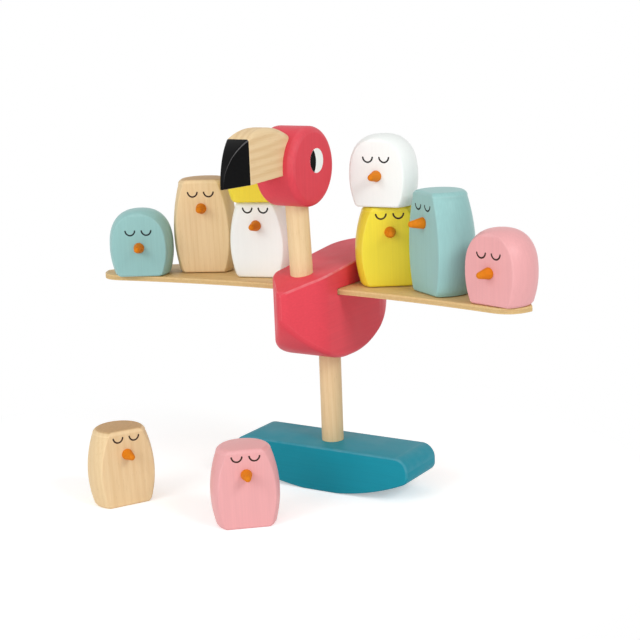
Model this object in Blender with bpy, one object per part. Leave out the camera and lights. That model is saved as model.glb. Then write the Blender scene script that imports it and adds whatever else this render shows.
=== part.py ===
"""Balance game: a wooden flamingo on a rocker, a wing plank and ten stacking birds.

Metres, +Z up. X runs along the wing plank and the flamingo looks along -Y. The origin
is the middle of the flat that the rocker rests on, straight under the leg.
"""

import math

import bmesh
import bpy
from mathutils import Matrix
from mathutils import Vector

# Fits
SEAT_GAP = 0.0003  # between pieces that touch, stand on one another or are glued
SLIDE_GAP = 0.0005  # in front of and behind the plank in its slot
SOCKET_LEAD = 0.004  # how far a drill starts outside the surface that it enters
ARRIS = 0.0010  # small rounding along the edges of the rocker and the body

# Rocker
ROCKER_LENGTH = 0.110
ROCKER_WIDTH = 0.033
ROCKER_HEIGHT = 0.0252
ROCKER_RADIUS = 0.130  # of the curved underside
ROCKER_REST = 0.020  # length of the flat that it rests on
ROCKER_TOP_ROUND = 0.0075
ROCKER_FOOT_ROUND = 0.005

# Leg
LEG_DIAMETER = 0.012
LEG_SHOWING = 0.0498  # between the rocker's top and the belly
LEG_IN_ROCKER = 0.014
LEG_IN_BODY = 0.024

# Body
BODY_THICKNESS = 0.032
BODY_HEIGHT = 0.0505  # from the belly to the top, over the leg
BODY_TOP_SLOPE = math.radians(5.8)  # the top rises towards the tail
BODY_NOSE_REACH = 0.047  # in front of the leg
BODY_TAIL_REACH = 0.052  # behind the leg
BODY_NOSE_WIDTH = 0.004
BODY_PROW_LENGTH = 0.017  # of the two slanting facets at the nose
BODY_CREASE = 0.005  # softness of the creases behind those facets
BODY_CHEST_START = 0.0307  # where the top starts to fall, in front of the leg
BODY_CHEST_SLOPE = math.radians(21.3)  # of the fall from there to the nose
BODY_CHEST_SOFT = 0.002  # softness of that bend
BODY_CHEST_LOW = 0.025  # lower end of the nose, above the belly
BODY_NOSE_ROUND = 0.002  # at the top and the bottom of the nose
BODY_LOW_ROUND = 0.003  # rounding along its lower edges
BODY_BELLY_FRONT = 0.004  # where the breast's curve starts, in front of the leg
BODY_RUMP_LENGTH = 0.050  # of the curve from the belly up to the tail
BODY_RUMP_HEIGHT = 0.047
BODY_TAIL_LENGTH = 0.025  # of the rounded end as seen from above
BODY_TAIL_DROP = 0.0008  # fall of the top at the tail's end

# Neck
NECK_DIAMETER = 0.012
NECK_SHOWING = 0.0361  # between the body's top and the head
NECK_FORWARD = 0.0252  # where it enters the body, in front of the leg
NECK_LEAN = math.radians(3.2)
NECK_IN_BODY = 0.018
NECK_IN_HEAD = 0.014

# Head
HEAD_DIAMETER = 0.0413
HEAD_THICKNESS = 0.024
HEAD_ROUND = 0.0035

# Beak
BEAK_REACH = 0.0645  # from the head's middle to the tip
BEAK_THICKNESS = 0.013
BEAK_TIP_THICKNESS = 0.0018
BEAK_FACET_START = 0.0495  # from the head's middle
BEAK_PEAK = 0.033  # its highest place, in front of the head's middle
BEAK_PEAK_RISE = 0.0227  # that place above the head's middle
BEAK_BACK_RADIUS = 0.050  # of the top behind that place
BEAK_TIP_DROP = 0.0040  # the tip's height under the head's middle
BEAK_UNDER_SLOPE = math.radians(1.9)
BEAK_TOP_ROUND = 0.0030
PIN_DIAMETER = 0.006
PIN_RISE = 0.007  # above the head's middle
PIN_IN_HEAD = 0.009
PIN_IN_BEAK = 0.012

# Wing
WING_LENGTH = 0.2653
WING_WIDTH = 0.044  # at the middle
WING_THICKNESS = 0.003
WING_OVER_BELLY = 0.0357  # its underside above the belly
WING_FORWARD = 0.0147  # its front edge in front of the leg, at the middle
WING_SHIFT = -0.0063  # place of its middle along X
WING_TRAVEL = 0.009  # how far it can be pushed along its slot
WING_FRONT_RADIUS = 0.565
WING_TIP_LENGTH = 0.0755  # of the curve at each end of the back edge
WING_TIP_SWEEP = 0.0447  # how far that curve comes forward
WING_END_SLANT = 0.0047  # the front corners stand in from the ends by this
WING_CORNER_REACH = 0.013  # how far the rounding of a front corner runs
WING_CORNER_SHARE = 0.9  # the rounding takes no more than this share of an end

# Birds
BIRD_DIAMETER = 0.036
BIRD_TOP_DIAMETER = 0.0264
BIRD_FOOT_DIAMETER = 0.0304
BIRD_FACE = 0.010  # from the axis to the flat face
BIRD_ARRIS = 0.0009  # rounding of its foot, of its top and around its face
SHORT_HEIGHT = 0.0374
SHORT_BELLY = 0.0155  # height of the widest place
SHORT_BEAK = 0.0163  # height of the beak
MEDIUM_HEIGHT = 0.0420
MEDIUM_BELLY = 0.0178
MEDIUM_BEAK = 0.0290
TALL_HEIGHT = 0.0526
TALL_BELLY = 0.0220
TALL_BEAK = 0.0366
EGG_POWER = 2.5  # 2 makes the short bird's dome an ellipse, more makes it fuller
PEG_DIAMETER = 0.006
PEG_LENGTH = 0.0085
PEG_TIP_RADIUS = 0.0017
PEG_SHANK_DIAMETER = 0.004
PEG_SHANK_LENGTH = 0.006

# Where the birds stand: gaps to the neighbour, and its direction in degrees from +X
LEFT_INNER_GAP = 0.0098  # from the body's side
LEFT_INNER_BACK = 0.0045  # behind the leg
LEFT_MIDDLE_GAP = 0.0033
LEFT_MIDDLE_DIRECTION = 178.8
LEFT_OUTER_GAP = 0.0006
LEFT_OUTER_DIRECTION = 219.7
LEFT_UPPER_SHIFT = 0.0021  # along X from the bird under it
LEFT_UPPER_FORWARD = 0.0044  # in front of the bird under it
RIGHT_INNER_GAP = 0.0005  # from the body's side
RIGHT_INNER_BACK = 0.0076
RIGHT_MIDDLE_GAP = 0.0012
RIGHT_MIDDLE_DIRECTION = -15.9
RIGHT_OUTER_GAP = 0.0064
RIGHT_OUTER_DIRECTION = -18.6
RIGHT_UPPER_SHIFT = -0.0006
RIGHT_UPPER_FORWARD = 0.0025
TABLE_LEFT_ASIDE = 0.0887  # from the leg, towards -X
TABLE_LEFT_FORWARD = 0.0758  # in front of the leg
TABLE_MIDDLE_ASIDE = 0.0084
TABLE_MIDDLE_FORWARD = 0.0743

# The way each bird looks, in degrees from -Y towards +X
TEAL_SHORT_FACING = 29
NATURAL_TALL_FACING = 25
WHITE_MEDIUM_FACING = 14
YELLOW_SHORT_FACING = 22
YELLOW_MEDIUM_FACING = 33
WHITE_SHORT_FACING = 6
TEAL_TALL_FACING = -32
PINK_SHORT_FACING = -14
NATURAL_MEDIUM_FACING = 61
PINK_MEDIUM_FACING = 41

# Fineness
ROUND_SEGMENTS = 28
HEAD_SEGMENTS = 48
BIRD_SEGMENTS = 24
PEG_SEGMENTS = 12
ROCKER_CURVE_STEPS = 12
ROCKER_FOOT_STEPS = 5
ROCKER_TOP_STEPS = 7
BODY_NOSE_STEPS = 3
BODY_PROW_STEPS = 6
BODY_CREASE_STEPS = 5
BODY_SIDE_STEPS = 7
BODY_BACK_STEPS = 5
BODY_TAIL_STEPS = 9
BODY_TAIL_END = math.radians(84)  # how far round its curve the tail is drawn
BEAK_CURVE_STEPS = 14
WING_FRONT_STEPS = 24
WING_TIP_STEPS = 10
WING_CORNER_STEPS = 5
BARREL_STEPS = 4
FOOT_STEPS = 3
DOME_STEPS = 8
PEG_TIP_STEPS = 3
ARRIS_STEPS = 2
EDGE_STEPS = 4  # around the head's and the beak's soft edges
BIRD_ARRIS_STEPS = 1
ROUND_PROFILE = 0.5  # makes a bevel circular
WELD = 0.000001
SMOOTH_ANGLE = math.radians(32)
SHARP_ANGLE = math.radians(60)  # an edge turning more than this is an arris
BIRD_SHARP_ANGLE = math.radians(35)

# Heights and places that follow
BELLY_Z = ROCKER_HEIGHT + LEG_SHOWING
WING_LOW = BELLY_Z + WING_OVER_BELLY
WING_TOP = WING_LOW + WING_THICKNESS
NECK_AXIS = Vector((0, -math.sin(NECK_LEAN), math.cos(NECK_LEAN)))


def body_top_line(y):
    """Height of the body's straight top at a place along Y."""
    return BELLY_Z + BODY_HEIGHT + y * math.tan(BODY_TOP_SLOPE)


NECK_FOOT = Vector((0, -NECK_FORWARD, body_top_line(-NECK_FORWARD)))
HEAD_CENTRE = NECK_FOOT + NECK_AXIS * (NECK_SHOWING + HEAD_DIAMETER / 2)


def clear_scene():
    for obj in list(bpy.data.objects):
        bpy.data.objects.remove(obj, do_unlink=True)


def make_material(name, colour, roughness):
    mat = bpy.data.materials.new(name)
    mat.use_nodes = True
    shader = mat.node_tree.nodes["Principled BSDF"]
    shader.inputs["Base Color"].default_value = (*colour, 1)
    shader.inputs["Roughness"].default_value = roughness
    shader.inputs["Metallic"].default_value = 0
    mat.diffuse_color = (*colour, 1)
    return mat


def add_object(name, bm, material=None, parent=None, location=(0, 0, 0)):
    """Turn a finished bmesh into a named, smooth-shaded object."""
    bmesh.ops.recalc_face_normals(bm, faces=bm.faces)
    mesh = bpy.data.meshes.new(name)
    bm.to_mesh(mesh)
    bm.free()
    obj = bpy.data.objects.new(name, mesh)
    bpy.context.scene.collection.objects.link(obj)
    obj.location = location
    obj.parent = parent
    if material:
        mesh.materials.append(material)
        mesh.shade_smooth()
        mesh.set_sharp_from_angle(angle=SMOOTH_ANGLE)
    return obj


def add_bevel(obj, width, segments, angle):
    bevel = obj.modifiers.new("arris", "BEVEL")
    bevel.limit_method = "ANGLE"
    bevel.angle_limit = angle
    bevel.width = width
    bevel.segments = segments


def cut(obj, name, bm, parent=None):
    """Take a closed bmesh out of an object."""
    tool = add_object(name, bm, parent=parent)
    tool.hide_render = True
    tool.display_type = "WIRE"
    boolean = obj.modifiers.new(name, "BOOLEAN")
    boolean.operation = "DIFFERENCE"
    boolean.solver = "EXACT"
    boolean.object = tool


def rod(start, end, radius, segments=ROUND_SEGMENTS):
    """A closed cylinder between two points."""
    bm = bmesh.new()
    along = end - start
    turn = along.to_track_quat("Z", "Y").to_matrix().to_4x4()
    place = Matrix.Translation((start + end) / 2) @ turn
    bmesh.ops.create_cone(
        bm,
        cap_ends=True,
        segments=segments,
        radius1=radius,
        radius2=radius,
        depth=along.length,
        matrix=place,
    )
    return bm


def prism(outline, sweep):
    """A closed solid from a flat outline of points, swept along a straight line."""
    bm = bmesh.new()
    face = bm.faces.new([bm.verts.new(point) for point in outline])
    grown = bmesh.ops.extrude_face_region(bm, geom=[face])
    moved = [item for item in grown["geom"] if isinstance(item, bmesh.types.BMVert)]
    bmesh.ops.translate(bm, verts=moved, vec=sweep)
    return bm


def skin(rings):
    """A closed solid over a row of rings with equal numbers of points."""
    bm = bmesh.new()
    loops = [[bm.verts.new(point) for point in ring] for ring in rings]
    for low, high in zip(loops, loops[1:]):
        for i in range(len(low)):
            bm.faces.new((low[i - 1], low[i], high[i], high[i - 1]))
    bm.faces.new(loops[0])
    bm.faces.new(loops[-1])
    bmesh.ops.remove_doubles(bm, verts=bm.verts, dist=WELD)
    bmesh.ops.dissolve_degenerate(bm, edges=bm.edges, dist=WELD)
    return bm


def arc(centre, radius, start, end, steps):
    """Points of an arc in a plane, from one angle to another, in radians."""
    points = []
    for i in range(steps + 1):
        angle = start + (end - start) * i / steps
        across = centre[0] + radius * math.cos(angle)
        up = centre[1] + radius * math.sin(angle)
        points.append((across, up))
    return points


def steps_between(start, end, count):
    return [start + (end - start) * i / count for i in range(count + 1)]


def make_rocker(paint):
    """The foot: flat on top, curved below, with a short flat to rest on."""
    half = ROCKER_LENGTH / 2
    rest = ROCKER_REST / 2
    curve_z = math.sqrt(ROCKER_RADIUS ** 2 - rest ** 2)
    foot_x = half - ROCKER_FOOT_ROUND
    reach = ROCKER_RADIUS - ROCKER_FOOT_ROUND
    foot_z = curve_z - math.sqrt(reach ** 2 - foot_x ** 2)
    lean = math.atan2(foot_z - curve_z, foot_x)
    top_round = min(ROCKER_TOP_ROUND, ROCKER_HEIGHT - foot_z)
    top_centre = (half - top_round, ROCKER_HEIGHT - top_round)
    right_end = math.atan2(-curve_z, rest)
    right = arc((0, curve_z), ROCKER_RADIUS, right_end, lean, ROCKER_CURVE_STEPS)
    right += arc((foot_x, foot_z), ROCKER_FOOT_ROUND, lean, 0, ROCKER_FOOT_STEPS)[1:]
    right += arc(top_centre, top_round, 0, math.pi / 2, ROCKER_TOP_STEPS)
    left = [(-x, z) for x, z in reversed(right)]
    outline = [(x, -ROCKER_WIDTH / 2, z) for x, z in right + left]
    bm = prism(outline, (0, ROCKER_WIDTH, 0))
    bmesh.ops.remove_doubles(bm, verts=bm.verts, dist=WELD)
    rocker = add_object("rocker_base", bm, paint)
    add_bevel(rocker, ARRIS, ARRIS_STEPS, SHARP_ANGLE)
    floor = Vector((0, 0, ROCKER_HEIGHT - LEG_IN_ROCKER))
    mouth = Vector((0, 0, ROCKER_HEIGHT + SOCKET_LEAD))
    cut(rocker, "cut_rocker_leg", rod(floor, mouth, LEG_DIAMETER / 2 + SEAT_GAP))


def make_leg(wood):
    low = Vector((0, 0, ROCKER_HEIGHT - LEG_IN_ROCKER + SEAT_GAP))
    high = Vector((0, 0, BELLY_Z + LEG_IN_BODY - SEAT_GAP))
    add_object("leg_dowel", rod(low, high, LEG_DIAMETER / 2), wood)


def soft_min(first, second, softness):
    """The smaller of two values, with the change from one to the other rounded."""
    share = max(softness - abs(first - second), 0) / softness
    return min(first, second) - share ** 2 * softness / 4


def nose_fall(y):
    """How much the rounding of the nose takes off the section at a place along Y."""
    inside = max(0, BODY_NOSE_ROUND - (y + BODY_NOSE_REACH))
    return BODY_NOSE_ROUND - math.sqrt(BODY_NOSE_ROUND ** 2 - inside ** 2)


def body_half_width(y):
    """Half the body's thickness at a place along Y: prow, straight sides, round tail."""
    half = BODY_THICKNESS / 2
    from_nose = y + BODY_NOSE_REACH
    into_tail = y - (BODY_TAIL_REACH - BODY_TAIL_LENGTH)
    if into_tail > 0:
        return half * math.sqrt(1 - (into_tail / BODY_TAIL_LENGTH) ** 2)
    nose = BODY_NOSE_WIDTH / 2
    prow = nose + (half - nose) * from_nose / BODY_PROW_LENGTH
    return soft_min(half, prow, BODY_CREASE)


def body_top(y):
    """Height of the body's top, with the sloping chest and the drop at the tail."""
    into_tail = y - (BODY_TAIL_REACH - BODY_TAIL_LENGTH)
    if into_tail > 0:
        return body_top_line(y) - BODY_TAIL_DROP * (into_tail / BODY_TAIL_LENGTH) ** 2
    into_chest = y + BODY_CHEST_START
    chest = body_top_line(-BODY_CHEST_START) + into_chest * math.tan(BODY_CHEST_SLOPE)
    return soft_min(body_top_line(y), chest, BODY_CHEST_SOFT) - nose_fall(y)


def body_low(y):
    """Height of the body's underside: breast curve, flat belly and rump."""
    into_breast = -BODY_BELLY_FRONT - y
    into_rump = y - (BODY_TAIL_REACH - BODY_RUMP_LENGTH)
    if into_breast > 0:
        span = BODY_NOSE_REACH - BODY_BELLY_FRONT
        radius = (span ** 2 + BODY_CHEST_LOW ** 2) / (2 * BODY_CHEST_LOW)
        breast = BELLY_Z + radius - math.sqrt(radius ** 2 - into_breast ** 2)
        return breast + nose_fall(y)
    if into_rump > 0:
        share = into_rump / BODY_RUMP_LENGTH
        return BELLY_Z + BODY_RUMP_HEIGHT * (1 - math.sqrt(1 - share ** 2))
    return BELLY_Z


def body_section(y):
    """Upright section across the body: a rectangle with rounded corners."""
    half = body_half_width(y)
    low = body_low(y)
    high = body_top(y)
    points = []
    for side, level, start in ((1, high, 0), (-1, high, 1), (-1, low, 2), (1, low, 3)):
        inward = -1 if level == high else 1
        round_off = min(ARRIS if level == high else BODY_LOW_ROUND, half / 2)
        centre = (side * (half - round_off), level + inward * round_off)
        turn = start * math.pi / 2
        points += arc(centre, round_off, turn, turn + math.pi / 2, ARRIS_STEPS)
    return [(x, y, z) for x, z in points]


def body_stations():
    """Places along Y where the body's section is drawn, close together on the curves."""
    nose = -BODY_NOSE_REACH
    prow = nose + BODY_PROW_LENGTH
    belly_back = BODY_TAIL_REACH - BODY_RUMP_LENGTH
    tail = BODY_TAIL_REACH - BODY_TAIL_LENGTH
    nose_turns = steps_between(0, math.pi / 2, BODY_NOSE_STEPS)
    crease = BODY_CREASE / (BODY_THICKNESS / 2 - BODY_NOSE_WIDTH / 2) * BODY_PROW_LENGTH
    tail_turns = steps_between(0, BODY_TAIL_END, BODY_TAIL_STEPS)
    places = [nose + BODY_NOSE_ROUND * (1 - math.cos(turn)) for turn in nose_turns]
    places += steps_between(nose + BODY_NOSE_ROUND, prow - crease, BODY_PROW_STEPS)
    places += steps_between(prow - crease, prow + crease, BODY_CREASE_STEPS)
    places += steps_between(prow + crease, -BODY_BELLY_FRONT, BODY_SIDE_STEPS)
    places += steps_between(belly_back, tail, BODY_BACK_STEPS)
    places += [tail + BODY_TAIL_LENGTH * math.sin(turn) for turn in tail_turns]
    spaced = []
    for place in sorted(places):
        if not spaced or place - spaced[-1] > SEAT_GAP:
            spaced.append(place)
    return spaced


def wing_front_sag(x):
    """How far the plank's front edge comes forward at a distance from its middle."""
    return WING_FRONT_RADIUS - math.sqrt(WING_FRONT_RADIUS ** 2 - x ** 2)


def make_body(paint):
    """The body block, with its slot for the plank and sockets for leg and neck."""
    body = add_object("body_block", skin([body_section(y) for y in body_stations()]), paint)
    reach = BODY_THICKNESS / 2 + abs(WING_SHIFT) + WING_TRAVEL
    front = -WING_FORWARD - wing_front_sag(reach) - SLIDE_GAP
    back = WING_WIDTH - WING_FORWARD + SLIDE_GAP
    side = -BODY_THICKNESS
    corners = (
        (side, front, WING_LOW - SEAT_GAP),
        (side, back, WING_LOW - SEAT_GAP),
        (side, back, WING_TOP + SEAT_GAP),
        (side, front, WING_TOP + SEAT_GAP),
    )
    cut(body, "cut_body_slot", prism(corners, (2 * BODY_THICKNESS, 0, 0)))
    leg_mouth = Vector((0, 0, BELLY_Z - SOCKET_LEAD))
    leg_end = Vector((0, 0, BELLY_Z + LEG_IN_BODY))
    cut(body, "cut_body_leg", rod(leg_mouth, leg_end, LEG_DIAMETER / 2 + SEAT_GAP))
    neck_end = NECK_FOOT - NECK_AXIS * NECK_IN_BODY
    neck_mouth = NECK_FOOT + NECK_AXIS * SOCKET_LEAD
    cut(body, "cut_body_neck", rod(neck_end, neck_mouth, NECK_DIAMETER / 2 + SEAT_GAP))


def make_neck(wood):
    low = NECK_FOOT - NECK_AXIS * (NECK_IN_BODY - SEAT_GAP)
    high = NECK_FOOT + NECK_AXIS * (NECK_SHOWING + NECK_IN_HEAD - SEAT_GAP)
    add_object("neck_dowel", rod(low, high, NECK_DIAMETER / 2), wood)


def pin_points(clearance):
    """Ends of the beak's pin, or of its hole with the clearance added."""
    seat = math.sqrt((HEAD_DIAMETER / 2) ** 2 - PIN_RISE ** 2)
    back = HEAD_CENTRE + Vector((0, PIN_IN_HEAD + clearance - seat, PIN_RISE))
    front = HEAD_CENTRE + Vector((0, -PIN_IN_BEAK - clearance - seat, PIN_RISE))
    return back, front


def make_head(paint):
    side = Vector((HEAD_THICKNESS / 2, 0, 0))
    drum = rod(HEAD_CENTRE - side, HEAD_CENTRE + side, HEAD_DIAMETER / 2, HEAD_SEGMENTS)
    head = add_object("head_block", drum, paint)
    add_bevel(head, HEAD_ROUND, EDGE_STEPS, SHARP_ANGLE)
    mouth = NECK_FOOT + NECK_AXIS * (NECK_SHOWING - SOCKET_LEAD)
    end = NECK_FOOT + NECK_AXIS * (NECK_SHOWING + NECK_IN_HEAD)
    cut(head, "cut_head_neck", rod(mouth, end, NECK_DIAMETER / 2 + SEAT_GAP))
    cut(head, "cut_head_pin", rod(*pin_points(SEAT_GAP), PIN_DIAMETER / 2 + SEAT_GAP))


def beak_outline():
    """Side outline of the beak around the head's middle, as (y, z) from there."""
    back = (-BEAK_PEAK, BEAK_PEAK_RISE - BEAK_BACK_RADIUS)
    turn = math.asin(BEAK_PEAK / BEAK_BACK_RADIUS)
    points = arc(back, BEAK_BACK_RADIUS, math.pi / 2 - turn, math.pi / 2, BEAK_CURVE_STEPS)
    front = BEAK_REACH - BEAK_PEAK
    fall = BEAK_PEAK_RISE + BEAK_TIP_DROP
    for across, up in arc((0, 0), 1, math.pi / 2, math.pi, BEAK_CURVE_STEPS)[1:]:
        points.append((across * front - BEAK_PEAK, up * fall - BEAK_TIP_DROP))
    points.append((0, -BEAK_TIP_DROP + BEAK_REACH * math.tan(BEAK_UNDER_SLOPE)))
    return points


def slice_facet(bm, side):
    """Slice one of the two slanting facets at the beak's tip."""
    half = BEAK_THICKNESS / 2
    run = BEAK_REACH - BEAK_FACET_START
    start = HEAD_CENTRE + Vector((side * half, -BEAK_FACET_START, 0))
    outward = Vector((side * run, BEAK_TIP_THICKNESS / 2 - half, 0)).normalized()
    bmesh.ops.bisect_plane(
        bm,
        geom=bm.verts[:] + bm.edges[:] + bm.faces[:],
        plane_co=start,
        plane_no=outward,
        clear_outer=True,
    )
    open_edges = [edge for edge in bm.edges if edge.is_boundary]
    bmesh.ops.holes_fill(bm, edges=open_edges)


def make_beak(wood):
    """The beak: a board with a round front, soft top edges and a slanting tip."""
    side = -BEAK_THICKNESS / 2
    outline = [HEAD_CENTRE + Vector((side, y, z)) for y, z in beak_outline()]
    bm = prism(outline, (BEAK_THICKNESS, 0, 0))
    crown = []
    for edge in bm.edges:
        low, high = sorted(edge.verts, key=lambda vert: vert.co.z)
        lengthwise = abs(low.co.x - high.co.x) < WELD
        middle = (low.co + high.co) / 2 - HEAD_CENTRE
        on_back = middle.z > 0 and middle.y < -WELD
        on_front = middle.y < -BEAK_PEAK
        if lengthwise and (on_back or on_front):
            crown.append(edge)
    bmesh.ops.bevel(
        bm,
        geom=crown,
        offset=BEAK_TOP_ROUND,
        offset_type="OFFSET",
        segments=EDGE_STEPS,
        profile=ROUND_PROFILE,
        affect="EDGES",
        clamp_overlap=True,
    )
    for facing in (-1, 1):
        slice_facet(bm, facing)
    beak = add_object("beak_block", bm, wood)
    reach = Vector((HEAD_THICKNESS, 0, 0))
    seat = rod(HEAD_CENTRE - reach, HEAD_CENTRE + reach, HEAD_DIAMETER / 2 + SEAT_GAP, HEAD_SEGMENTS)
    cut(beak, "cut_beak_seat", seat)
    cut(beak, "cut_beak_pin", rod(*pin_points(SEAT_GAP), PIN_DIAMETER / 2 + SEAT_GAP))


def make_pin(wood):
    add_object("beak_pin", rod(*pin_points(0), PIN_DIAMETER / 2), wood)


def wing_front(x):
    """A point of the plank's front edge."""
    return (x, -WING_FORWARD - wing_front_sag(x))


def bend(first, corner, last, count):
    """Points of a smooth curve from the first to the last, drawn towards the corner."""
    points = []
    for part in steps_between(0, 1, count):
        back = 1 - part
        x, y = (
            back ** 2 * a + 2 * back * part * b + part ** 2 * c
            for a, b, c in zip(first, corner, last)
        )
        points.append((x, y))
    return points


def wing_outline():
    """Plan of the plank around its middle: swept front, straight back, curved tips."""
    half = WING_LENGTH / 2
    tip = half - WING_END_SLANT
    back_y = WING_WIDTH - WING_FORWARD
    radius = (WING_TIP_LENGTH ** 2 + WING_TIP_SWEEP ** 2) / (2 * WING_TIP_SWEEP)
    end = math.acos(WING_TIP_LENGTH / radius)
    centre = (half - WING_TIP_LENGTH, back_y - radius)
    back = arc(centre, radius, end, math.pi / 2, WING_TIP_STEPS)
    corner = Vector(wing_front(tip))
    along_end = Vector(back[0]) - corner
    reach = min(WING_CORNER_REACH, along_end.length * WING_CORNER_SHARE)
    start = tip - reach
    stop = corner + along_end.normalized() * reach
    side = bend(wing_front(start), corner, stop, WING_CORNER_STEPS)[1:] + back
    front = [wing_front(x) for x in steps_between(-start, start, WING_FRONT_STEPS)]
    return front + side + [(-x, y) for x, y in reversed(side)]


def make_wing(ply):
    """The plank, on the line that it slides along."""
    bm = prism([(x, y, 0) for x, y in wing_outline()], (0, 0, WING_THICKNESS))
    bmesh.ops.translate(bm, verts=bm.verts, vec=(WING_SHIFT, 0, 0))
    add_object("wing_plank", bm, ply, location=(0, 0, WING_LOW))


def barrel_radius(z, height, belly):
    """Radius of a flat-topped bird at a height."""
    wide = BIRD_DIAMETER / 2
    if z < belly:
        return wide - (wide - BIRD_FOOT_DIAMETER / 2) * (1 - z / belly) ** 2
    return wide - (wide - BIRD_TOP_DIAMETER / 2) * ((z - belly) / (height - belly)) ** 2


def egg_radius(z, height, belly):
    """Radius of the domed bird at a height."""
    if z < belly:
        return barrel_radius(z, height, belly)
    share = min(1, (z - belly) / (height - belly))
    return BIRD_DIAMETER / 2 * (1 - share ** EGG_POWER) ** (1 / EGG_POWER)


def egg_height(radius, height, belly):
    """Height at which the dome has a radius."""
    share = (1 - (2 * radius / BIRD_DIAMETER) ** EGG_POWER) ** (1 / EGG_POWER)
    return belly + (height - belly) * share


def barrel_rings(height, belly):
    """Radii and heights of a flat-topped bird, from foot to top."""
    heights = steps_between(0, belly, FOOT_STEPS)
    heights += steps_between(belly, height, BARREL_STEPS)[1:]
    return [(barrel_radius(z, height, belly), z) for z in heights]


def egg_rings(height, belly):
    """Radii and heights of the domed bird, from foot to top."""
    rings = [(egg_radius(z, height, belly), z) for z in steps_between(0, belly, FOOT_STEPS)]
    wide = BIRD_DIAMETER / 2
    for angle in steps_between(0, math.pi / 2, DOME_STEPS)[2:]:
        radius = max(0, wide * math.cos(angle))
        rings.append((radius, egg_height(radius, height, belly)))
    rings.append((BIRD_FACE, egg_height(BIRD_FACE, height, belly)))
    return sorted(rings, key=lambda ring: ring[1])


def sliced_ring(radius, z):
    """A circle with its front sliced off flat, from one end of the slice to the other."""
    half = math.acos(min(1, BIRD_FACE / radius)) if radius > 0 else 0
    front = -math.pi / 2
    turn = arc((0, 0), radius, front + half, front + 2 * math.pi - half, BIRD_SEGMENTS)
    return [(x, y, z) for x, y in turn]


def bird_barrel(rings):
    """A turned barrel with one flat face in front."""
    bm = skin([sliced_ring(radius, z) for radius, z in rings])
    flat = [face for face in bm.faces if all(vert.co.y < WELD - BIRD_FACE for vert in face.verts)]
    bmesh.ops.dissolve_faces(bm, faces=flat)
    return bm


def peg_rings():
    """Radii and distances from the face of a bird's beak, from shank to tip."""
    shank = PEG_SHANK_DIAMETER / 2
    lean = math.atan((PEG_DIAMETER / 2 - PEG_TIP_RADIUS) / (PEG_LENGTH - PEG_TIP_RADIUS))
    tip = SEAT_GAP + PEG_LENGTH - PEG_TIP_RADIUS
    rings = [(shank, -PEG_SHANK_LENGTH), (shank, SEAT_GAP), (PEG_DIAMETER / 2, SEAT_GAP)]
    for angle in steps_between(lean, math.pi / 2, PEG_TIP_STEPS):
        radius = PEG_TIP_RADIUS * math.cos(angle)
        rings.append((radius, tip + PEG_TIP_RADIUS * math.sin(angle)))
    return rings


def make_bird(name, rings, beak_height, place, facing, paint, orange):
    """One bird on an upright axis: a turned barrel with a flat face, and its beak."""
    stand = bpy.data.objects.new(name, None)
    bpy.context.scene.collection.objects.link(stand)
    stand.location = place
    stand.rotation_euler = (0, 0, math.radians(facing))
    body = add_object(name + "_body", bird_barrel(rings), paint, stand)
    add_bevel(body, BIRD_ARRIS, BIRD_ARRIS_STEPS, BIRD_SHARP_ANGLE)
    end = Vector((0, -BIRD_FACE + PEG_SHANK_LENGTH + SEAT_GAP, beak_height))
    mouth = Vector((0, -BIRD_FACE - SOCKET_LEAD, beak_height))
    hole = rod(end, mouth, PEG_SHANK_DIAMETER / 2 + SEAT_GAP, PEG_SEGMENTS)
    cut(body, "cut_" + name, hole, stand)
    turned = []
    for radius, out in peg_rings():
        circle = arc((0, beak_height), radius, 0, 2 * math.pi, PEG_SEGMENTS)[1:]
        turned.append([(x, -BIRD_FACE - out, z) for x, z in circle])
    add_object(name + "_beak", skin(turned), orange, stand)


def beside(place, gap, direction):
    """The place of a bird's neighbour, across a gap, in a direction in degrees from +X."""
    angle = math.radians(direction)
    distance = BIRD_DIAMETER + gap
    return place[0] + distance * math.cos(angle), place[1] + distance * math.sin(angle)


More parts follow.
